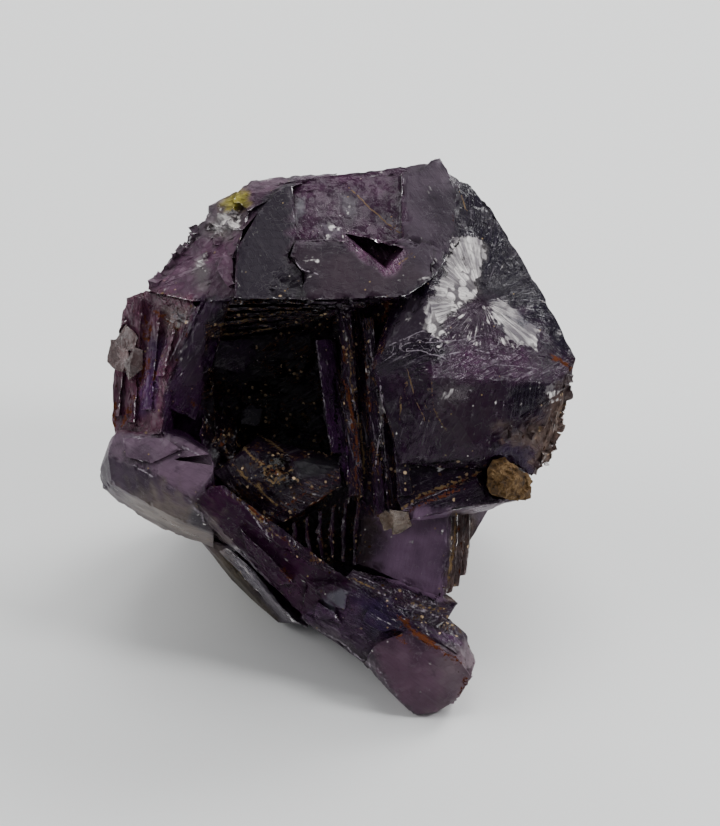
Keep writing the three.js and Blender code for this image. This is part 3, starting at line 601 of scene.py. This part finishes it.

# Thin lines on the skin: seams of gold-brown clay, pale cleavage cracks, dark gaps, a painted shadow line
# under an overhang, and rust.
# Each has its tone, half its width and the places that it runs through.
GOLD, PALE, DARK, RUST = 0.0, 1.0, 2.0, 3.0
TRACES = [
    (GOLD, 0.16, [(-16.9, 14.8), (-10, 16.2), (-4.2, 17.3)]),
    (GOLD, 0.14, [(-16.7, 13.3), (-12.5, 14.2), (-9, 14.4)]),
    (PALE, 0.14, [(-4.2, 18.2), (-0.1, 17.8), (2, 16.9)]), (PALE, 0.16, [(-0.1, 18), (1.2, 15.6)]),
    (RUST, 0.3, [(6.7, 18), (5.6, 15.8)]), (RUST, 0.22, [(0.9, 7.1), (2.4, 1.2), (2.9, -4.4)]),
    (GOLD, 0.12, [(1.4, 12.6), (1.9, 6), (3.2, 0), (3.6, -6)]),
    (DARK, 0.2, [(-0.5, 8.4), (-0.1, 0.7), (0.7, -7.8)]),
    (PALE, 0.09, [(5.6, 7.6), (6, 3.3), (5, -4.4)]), (GOLD, 0.13, [(8.8, 6.7), (8.4, 2.9)]),
    (PALE, 0.1, [(4.2, 13.6), (4.6, 9.4)]), (PALE, 0.12, [(-2.9, 12.6), (-2.2, 6), (-1.2, -1)]),
    (GOLD, 0.2, [(-13.3, -1.4), (-7.8, -6.1), (-6.1, -4.4)]), (GOLD, 0.14, [(-10.4, -0.1), (-6.1, -3.1)]),
    (GOLD, 0.16, [(-14.6, -3.9), (-7.8, -10.3)]), (RUST, 0.2, [(-9.7, -12), (-4.8, -8.2), (0.3, -6.1)]),
    (GOLD, 0.15, [(-10.3, -4.4), (-9.1, -3.9), (-8, -5.2), (-8.9, -6.5), (-10.1, -5.2), (-10.3, -4.4)]),
    (GOLD, 0.13, [(-18, -6.3), (-13.8, -8.9), (-8.6, -13.4), (-3.8, -17.3)]),
    (PALE, 0.1, [(-14.6, -6.9), (-9.5, -14.2)]),
    (RUST, 0.26, [(-16.3, 7.1), (-15.6, -1.4)]), (GOLD, 0.14, [(-15.8, 5), (-15.2, -2)]),
    (GOLD, 0.08, [(1, 34.2), (6.6, 29), (8.5, 27.6)]), (PALE, 0.07, [(9, 35.6), (8.5, 31.8), (8.3, 28.5)]),
    (PALE, 0.09, [(-6.6, 24.3), (-5, 22.6), (-2.8, 22)]), (GOLD, 0.13, [(7.1, 22.2), (9.5, 24.3)]),
    (GOLD, 0.08, [(16, 34.7), (17.5, 30.9)]),
    (DARK, 0.14, [(8.5, 18.9), (13, 20.8)]),
    (DARK, 0.16, [(16.5, 26.6), (13.2, 21.3), (11.6, 18.4), (7.1, 14.8)]),
    (PALE, 0.07, [(7.1, 12.3), (11.6, 14.3), (14.5, 12.7)]),
    (PALE, 0.07, [(7.1, 10.7), (9, 12.4), (11.2, 13)]),
    (PALE, 0.07, [(5, 9.4), (8, 11.2), (11, 11.6), (14.6, 10.6)]),
    (PALE, 0.08, [(15.3, 11.1), (19, 11.6), (23.5, 10.7)]),
    (PALE, 0.07, [(12, 12.6), (16, 12.9), (19.6, 13.6)]), (PALE, 0.07, [(17, 10), (22, 9.6), (27, 9.2)]),
    (RUST, 0.3, [(29.6, 10.8), (31.7, 9.4)]), (GOLD, 0.2, [(7.7, -11.2), (11.3, -8.2), (19, -5.3)]),
    (RUST, 0.22, [(9.6, -10.6), (12, -9.2), (16.8, -7.5)]),
    # a painted shadow line where the striped face overhangs the ledge
    (DARK, 0.24, [(8.8, -3.8), (13, -4), (17.9, -3.7)]),
    (PALE, 0.09, [(5.2, 8.5), (6.2, 2), (6.7, -6)]), (GOLD, 0.07, [(9.6, 8.5), (10.4, 5), (11.7, 2.3)]),
    (GOLD, 0.06, [(12.8, 7), (13, 3.6), (14.4, 1)]),
    (DARK, 0.2, [(1.6, -17.8), (7, -20.2), (13, -22.5), (15.5, -21.2)]),
    (PALE, 0.1, [(4.8, -21.2), (10, -23.4), (14.8, -25.2)]),
    (GOLD, 0.12, [(2.4, -19.8), (8, -22.2), (14, -24)]),
    (RUST, 0.45, [(8.5, -24.8), (11, -27.2), (13.9, -29.8), (16.7, -31.1)]),
    (RUST, 0.3, [(7.9, -27.3), (9, -28.2)]),
    (PALE, 0.16, [(-14.4, -15.6), (-12, -19), (-9.4, -22.6), (-6.6, -25.2)]),
    (PALE, 0.13, [(-5, -25.8), (-1, -27.6), (5.2, -32.1), (9.2, -37.4)]),
    (GOLD, 0.13, [(16.2, -11), (15.6, -17), (14.8, -21.6)]),
    (RUST, 0.28, [(-25.6, 10.8), (-26.4, 7.6), (-27.4, 5.2)]),
    (RUST, 0.36, [(-24.6, 16.6), (-22.6, 15.6), (-21, 14)]),
    (RUST, 0.3, [(-28.6, 3.6), (-29.4, 1.8)]), (RUST, 0.24, [(-26.4, 16), (-26.8, 12.6)]),
    (PALE, 0.1, [(-21, 14.6), (-23.4, 9.4), (-25, 6)]),
    (PALE, 0.12, [(-28, -0.2), (-22, -1.2), (-18, -3.4)]),
    (PALE, 0.1, [(-27.6, -4.4), (-20.6, -8.8), (-18.6, -11.4)]),
]
# Frost: places where the skin is crackled and silvery white; on the etched face the silver is also a painted
# glint of the window.
FROST_AND_GLINT = [
    # the first three patches are the etched face's silver, partly a painted glint of the window
    (1.0, [
        (15.9, 26.8), (19, 27), (20.4, 25.4), (19.4, 22.5), (19, 19.6), (16.4, 17.2), (14.3, 15.4),
        (13.7, 12.9), (11.4, 14.4), (12.2, 17.6), (14.5, 21.7),
    ]),
    (0.95, [
        (21, 18.6), (22.7, 18.4), (25.1, 16.4), (27.4, 14.8), (27.2, 12.3), (25.1, 11.9), (23.1, 13.5),
        (21.2, 16),
    ]),
    (0.36, [(13.4, 14), (16, 16.8), (19.6, 19), (21.4, 15.6), (24.6, 12.2), (20, 12), (15, 12)]),
    (0.7, [(-18, 27.4), (-17.6, 30), (-14.6, 31.2), (-12.8, 30), (-15, 27)]),
    (0.62, [(-20, 22.6), (-18.8, 24.6), (-17.8, 22), (-17.9, 19.6), (-19, 19.8)]),
    (0.6, [(-10.4, 34.4), (-7, 35.6), (-6, 36.6), (-11, 36)]),
    (0.6, [(-2.4, 29.2), (-0.6, 28.8), (0.4, 27.6), (-1.8, 27.2)]),
    (0.5, [(-5.5, 32.4), (-4.5, 32.4), (-5, 29.4), (-5.9, 29)]),
    (0.45, [(0.3, 32.6), (2.3, 32.3), (2.2, 30.2), (0.8, 30.4)]),
    (0.62, [(-15.8, -14.9), (-14.4, -15.2), (-11, -20), (-12.4, -19.8)]),
    (0.5, [(-24, 17.4), (-20.6, 17.2), (-20.8, 15.2), (-23.2, 14.4)]),
    (0.5, [(-0.6, 17.6), (1.6, 17.4), (1.8, 15.6), (0.2, 15.4)]),
    (0.45, [(5, 4), (6.6, 4), (6.2, -3), (5, -3)]), (0.4, [(13.6, 6.6), (17.6, 6.8), (16.6, 5), (14.6, 4)]),
    (0.5, [(28.6, 6.8), (30.8, 6.8), (29.6, 2), (28.4, 3)]),
    (0.45, [(4.2, -8.4), (6.6, -7.6), (7, -10.4), (5, -11)]),
]
trace = np.full(len(points), 3.0)
half_width = np.ones(len(points))
tone = np.zeros(len(points))
for kind, half, line in TRACES:
    for (u0, v0), (u1, v1) in zip(line, line[1:]):
        du, dv = u1 - u0, v1 - v0
        run = np.clip(((u - u0) * du + (v - v0) * dv) / (du * du + dv * dv), 0, 1)
        away = np.hypot(u - u0 - run * du, v - v0 - run * dv)
        side = np.where((u - u0) * dv > (v - v0) * du, 1, -1)
        closer = (away < np.abs(trace)) & (away < 1.0) & (w > -14)
        trace = np.where(closer, away * side, trace)
        half_width = np.where(closer, half, half_width)
        tone = np.where(closer, kind, tone)
frost_and_glint = np.zeros(len(points))
for amount, outline in FROST_AND_GLINT:
    share = cover_of(outline, 0.5, u + 0.4 * wander_u, v + 0.4 * wander_v)
    frost_and_glint = np.maximum(frost_and_glint, amount * share * (w > -9))

corner_of = np.zeros(len(cluster_mesh.loops), int)
cluster_mesh.loops.foreach_get("vertex_index", corner_of)
corner_zones = np.repeat(zone_here[corner_of[::3]], 3)
across, along = growth_lines(corner_zones, u[corner_of], v[corner_of], w[corner_of])
milk = np.clip(glow.max(axis=1) / 0.3, 0.5, 0.75)
skin = np.column_stack([glow / milk[:, None], stain])
edge_sign = (edge_wear_and_highlight * (w > -14) - creases)[corner_of]
for name, domain, values in (
    ("skin", "POINT", skin),
    ("finish", "POINT", np.column_stack([rough, milk, grain / 2, dirty])),
    ("growth", "CORNER", np.column_stack([across, along, lined[corner_of], edge_sign])),
    ("traces", "POINT", np.column_stack([trace / half_width, np.abs(trace) < 0.9, tone, frost_and_glint])),
):
    layer = cluster_mesh.attributes.new(name, "FLOAT_COLOR", domain)
    layer.data.foreach_set("color", values.astype(np.float32).ravel())

crystal = bpy.data.materials.new("purple fluorite")
crystal.use_nodes = True
nodes, links = crystal.node_tree.nodes, crystal.node_tree.links
shader = nodes["Principled BSDF"]
shader.inputs["IOR"].default_value = 1.434
shader.inputs["Specular IOR Level"].default_value = 0.05


def node(kind, settings=None, **values):
    made = nodes.new(kind)
    for key, value in (settings or {}).items():
        setattr(made, key, value)
    for key, value in values.items():
        socket = made.inputs[int(key[1:])] if key[0] == "_" else made.inputs[key]
        if hasattr(value, "is_output"):
            links.new(value, socket)
        else:
            socket.default_value = value
    return made


def maths(operation, a, b=0.0, clamp=False):
    return node("ShaderNodeMath", {"operation": operation, "use_clamp": clamp}, _0=a, _1=b).outputs[0]


def times(*factors):
    product = factors[0]
    for factor in factors[1:]:
        product = maths("MULTIPLY", product, factor)
    return product


def plus(*terms):
    total = terms[0]
    for term in terms[1:]:
        total = maths("ADD", total, term)
    return total


def over(value, low, high):
    """From 0 to 1 as the value rises from low to high."""
    return node("ShaderNodeMapRange", _0=value, _1=low, _2=high).outputs[0]


def mixed(factor, a, b):
    return node("ShaderNodeMix", {"data_type": "RGBA"}, _0=factor, _6=a, _7=b).outputs[2]


def layer_parts(name):
    layer = node("ShaderNodeAttribute", {"attribute_name": name})
    whole = layer.outputs["Color"]
    return whole, *node("ShaderNodeSeparateColor", _0=whole).outputs, layer.outputs["Alpha"]


place = node("ShaderNodeTexCoord").outputs["Object"]
skin_colour, _, _, _, rust = layer_parts("skin")
_, roughness, milkiness, graininess, dirtiness = layer_parts("finish")
_, line_across, line_along, line_strength, edge_sign = layer_parts("growth")
_, trace, near_trace, tone, frosting_and_glint = layer_parts("traces")
edge = maths("MAXIMUM", edge_sign, 0.0)
crease_shade = maths("MAXIMUM", times(edge_sign, -1.0), 0.0)

cloud = node("ShaderNodeTexNoise", Vector=place, Scale=150.0, Detail=2.0, Roughness=0.6).outputs[0]
patch = node("ShaderNodeTexNoise", Vector=place, Scale=420.0, Detail=3.0, Roughness=0.65).outputs[0]
fine = node("ShaderNodeTexNoise", Vector=place, Scale=2300.0, Detail=2.0, Roughness=0.6).outputs[0]
line_place = node(
    "ShaderNodeCombineXYZ", _0=times(line_across, 1.9), _1=times(line_along, 0.2), _2=times(patch, 1.2)
).outputs[0]
groove = node("ShaderNodeTexNoise", Vector=line_place, Scale=1.0, Detail=2.0, Roughness=0.7).outputs[0]
ridge = maths("ABSOLUTE", plus(groove, -0.5))
mosaic = node("ShaderNodeTexVoronoi", Vector=place, Scale=850.0, Randomness=1.0)
mosaic_rim = over(mosaic.outputs["Distance"], 0.50, 0.62)
crumb = node("ShaderNodeTexVoronoi", Vector=place, Scale=1700.0)
crumb_chance, crumb_tone, _ = node("ShaderNodeSeparateColor", _0=crumb.outputs["Color"]).outputs

# the crystal's colour: clouded; painted shade in its grooves and inward creases; paler along veils, partly
# painted reflections, and along worn edges, partly a painted highlight
deep = mixed(0.72, skin_colour, (0.015, 0.004, 0.02, 1))
colour = mixed(over(cloud, 0.40, 0.66), skin_colour, deep)
colour = mixed(times(over(patch, 0.60, 0.72), 0.5), colour, deep)
# painted shade in the narrow grooves of the growth lines
colour = mixed(times(over(ridge, 0.05, 0.0), line_strength, 0.6), colour, (0.004, 0.002, 0.006, 1))
pale = mixed(0.5, skin_colour, (0.62, 0.56, 0.62, 1))
colour = mixed(maths("MULTIPLY", over(groove, 0.60, 0.74), times(line_strength, 0.6), True), colour, pale)
# pale veils along cleavages inside the crystal, partly painted reflection off them
veil_and_reflection = times(over(maths("ABSOLUTE", plus(patch, -0.47)), 0.012, 0.0), over(cloud, 0.45, 0.55))
colour = mixed(times(veil_and_reflection, 0.3), colour, pale)
colour = mixed(times(mosaic_rim, graininess, 0.5), colour, deep)
# worn edges: paler along the sharp outer edges, partly chipped wear and partly a painted highlight; tan where
# dirty
worn_and_highlit = over(times(edge, plus(fine, patch)), 0.95, 1.3)
worn_and_highlit_colour = mixed(maths("MULTIPLY", dirtiness, 2.0, True), (0.50, 0.43, 0.50, 1), (0.17, 0.085, 0.045, 1))
colour = mixed(times(worn_and_highlit, maths("SUBTRACT", 0.32, dirtiness, True)), colour, worn_and_highlit_colour)
# painted shade along the inward creases
colour = mixed(times(crease_shade, 0.5), colour, (0.008, 0.004, 0.006, 1))

# dirt: brown crumbs in the hollow, thin tan lines between the bars and iron stains; then tan specks of dust
# and pale flecks that are painted glints
here = times(dirtiness, over(patch, 0.42, 0.60))
crumb_reach = plus(crumb.outputs["Distance"], times(fine, 0.3))
crumbs = times(over(plus(crumb_chance, here), 1.0, 1.04), over(crumb_reach, 0.62, 0.5))
crumb_colour = mixed(over(crumb_tone, 0.45, 0.95), (0.045, 0.021, 0.010, 1), (0.80, 0.58, 0.36, 1))
colour = mixed(crumbs, colour, crumb_colour)
tan_line = times(over(ridge, 0.016, 0.004), over(times(here, line_strength), 0.10, 0.25))
colour = mixed(tan_line, colour, (0.15, 0.075, 0.035, 1))
rusty = over(plus(times(rust, 0.42), times(fine, 0.5), times(patch, 0.9)), 1.05, 1.14)
rusty = maths("MULTIPLY", rusty, over(rust, 0.0, 0.3))
rust_colour = mixed(over(fine, 0.42, 0.66), (0.045, 0.011, 0.006, 1), (0.12, 0.036, 0.015, 1))
colour = mixed(rusty, colour, rust_colour)
# flecks: the pale ones are painted glints off tiny facets, the tan ones specks of dust
glint_and_fleck_chance = over(plus(crumb_chance, times(dirtiness, -0.06)), 0.035, 0.025)
glint_and_fleck = times(over(crumb.outputs["Distance"], 0.24, 0.12), glint_and_fleck_chance)
glint_and_fleck_colour = mixed(over(crumb_tone, 0.3, 0.7), (0.62, 0.56, 0.56, 1), (0.44, 0.30, 0.14, 1))
colour = mixed(glint_and_fleck, colour, glint_and_fleck_colour)

# crackled silvery frost, which on the etched face is also a painted glint of the window, and the thin seams
# and cracks
frosted_and_glint = over(plus(frosting_and_glint, times(plus(patch, -0.5), 2.4), times(plus(groove, -0.5), 1.2)), 0.48, 0.72)
crackle = maths("MAXIMUM", times(mosaic_rim, over(cloud, 0.4, 0.55)), times(over(ridge, 0.03, 0.0), 0.7))
silver_and_glint = mixed(over(plus(cloud, times(groove, 0.6)), 0.66, 0.9), (0.20, 0.18, 0.20, 1), (0.95, 0.90, 0.88, 1))
colour = mixed(frosted_and_glint, colour, mixed(times(crackle, 0.85), silver_and_glint, (0.04, 0.03, 0.045, 1)))
wobble = plus(times(plus(patch, -0.5), 1.3), times(plus(fine, -0.5), 0.7))
seam = over(maths("ABSOLUTE", plus(trace, times(wobble, 5.0))), 1.3, 0.6)
seam = times(seam, over(near_trace, 0.5, 0.9), over(plus(cloud, fine), 0.96, 1.06))
tone_light = mixed(over(tone, 0.3, 0.7), (0.20, 0.13, 0.065, 1), (0.30, 0.26, 0.30, 1))
tone_deep = mixed(over(tone, 2.3, 2.7), (0.003, 0.002, 0.003, 1), (0.12, 0.036, 0.015, 1))
colour = mixed(seam, colour, mixed(over(tone, 1.3, 1.7), tone_light, tone_deep))
links.new(colour, shader.inputs["Base Color"])

cover = rusty
for other in (crumbs, times(glint_and_fleck, 0.6), tan_line, times(worn_and_highlit, 0.25), times(frosted_and_glint, 0.8), seam):
    cover = maths("MAXIMUM", cover, other)
clear = times(maths("SUBTRACT", 1.0, milkiness), maths("SUBTRACT", 1.0, cover))
links.new(clear, shader.inputs["Transmission Weight"])
clouded = plus(roughness, times(plus(cloud, -0.5), 0.4))
links.new(maths("ADD", clouded, times(cover, 0.4), True), shader.inputs["Roughness"])

# the fine relief, in millimetres: skin, growth lines, and a mosaic of tiny tilted facets
def vectors(operation, a, b):
    return node("ShaderNodeVectorMath", {"operation": operation}, _0=a, _1=b)


tilt = vectors("SUBTRACT", mosaic.outputs["Color"], (0.5, 0.5, 0.5)).outputs[0]
from_middle = vectors("SUBTRACT", place, mosaic.outputs["Position"]).outputs[0]
facets = vectors("DOT_PRODUCT", tilt, from_middle).outputs["Value"]
height = plus(
    times(fine, plus(0.010, times(graininess, 0.03))),
    times(patch, 0.05),
    times(facets, graininess, 700.0),
    times(over(ridge, 0.0, 0.07), line_strength, 0.035),
    times(groove, line_strength, 0.12),
)
relief = node("ShaderNodeBump", Strength=1.0, Distance=0.001, Height=height)
links.new(relief.outputs[0], shader.inputs["Normal"])
absorb = node("ShaderNodeVolumeAbsorption", Color=(0.52, 0.25, 0.55, 1), Density=380.0)
links.new(absorb.outputs[0], nodes["Material Output"].inputs["Volume"])

cluster_mesh.materials.append(crystal)
cluster_piece = bpy.data.objects.new("fluorite_cluster_crystals", cluster_mesh)
bpy.context.scene.collection.objects.link(cluster_piece)
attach(cluster_piece, "root")
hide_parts("fluorite_cluster")


# The growths: a lump of ochre matrix, colourless crystals on the left edge and tan ones under the ledge.
# Each sits in a socket of the cluster that it grew against.
def stone(name, colours, roughness, clear_part, bumpiness, scale):
    made = bpy.data.materials.new(name)
    made.use_nodes = True
    tree = made.node_tree
    surface = tree.nodes["Principled BSDF"]
    texture = tree.nodes.new("ShaderNodeTexNoise")
    texture.inputs["Scale"].default_value = scale
    texture.inputs["Detail"].default_value = 6
    texture.inputs["Roughness"].default_value = 0.7
    where = tree.nodes.new("ShaderNodeTexCoord")
    tree.links.new(where.outputs["Object"], texture.inputs["Vector"])
    ramp = tree.nodes.new("ShaderNodeValToRGB")
    for place_on_ramp, shade in zip((0.34, 0.5, 0.66), colours):
        stop = ramp.color_ramp.elements.new(place_on_ramp)
        stop.color = (*shade, 1)
    ramp.color_ramp.elements.remove(ramp.color_ramp.elements[0])
    ramp.color_ramp.elements.remove(ramp.color_ramp.elements[-1])
    tree.links.new(texture.outputs[0], ramp.inputs[0])
    tree.links.new(ramp.outputs[0], surface.inputs["Base Color"])
    bump = tree.nodes.new("ShaderNodeBump")
    bump.inputs["Strength"].default_value = bumpiness
    bump.inputs["Distance"].default_value = 0.0002
    tree.links.new(texture.outputs[0], bump.inputs["Height"])
    tree.links.new(bump.outputs[0], surface.inputs["Normal"])
    surface.inputs["Roughness"].default_value = roughness
    surface.inputs["Transmission Weight"].default_value = clear_part
    surface.inputs["IOR"].default_value = 1.45
    return made


def rough_piece(source, name, paint, longest, lift):
    bm = dense_copy(source, longest, longest)
    bm.normal_update()
    for vertex in bm.verts:
        wear = 0.5 + 0.5 * noise.noise(vertex.co * 900) + noise.cell(vertex.co * 1100)
        vertex.co -= vertex.normal * lift * wear
    made = bpy.data.meshes.new(name)
    bm.to_mesh(made)
    bm.free()
    made.materials.append(paint)
    piece = bpy.data.objects.new(name, made)
    bpy.context.scene.collection.objects.link(piece)
    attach(piece, "root")
    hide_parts(source)


ochre_colours = [(0.016, 0.008, 0.003), (0.085, 0.040, 0.007), (0.21, 0.13, 0.055)]
clear_colours = [(0.13, 0.065, 0.065), (0.28, 0.18, 0.18), (0.46, 0.38, 0.38)]
tan_colours = [(0.06, 0.03, 0.02), (0.19, 0.12, 0.08), (0.40, 0.32, 0.26)]
ochre = stone("ochre matrix", ochre_colours, 0.85, 0.0, 1.0, 900)
colourless = stone("colourless crystal", clear_colours, 0.25, 0.72, 0.5, 500)
tan = stone("tan crystal", tan_colours, 0.25, 0.6, 0.6, 700)
rough_piece("matrix_lump", "matrix_lump_rock", ochre, 0.0003, 0.00022)
rough_piece("pale_crystals", "pale_crystals_clear", colourless, 0.0004, 0.00006)
rough_piece("ledge_crystals", "ledge_crystals_tan", tan, 0.0004, 0.00006)
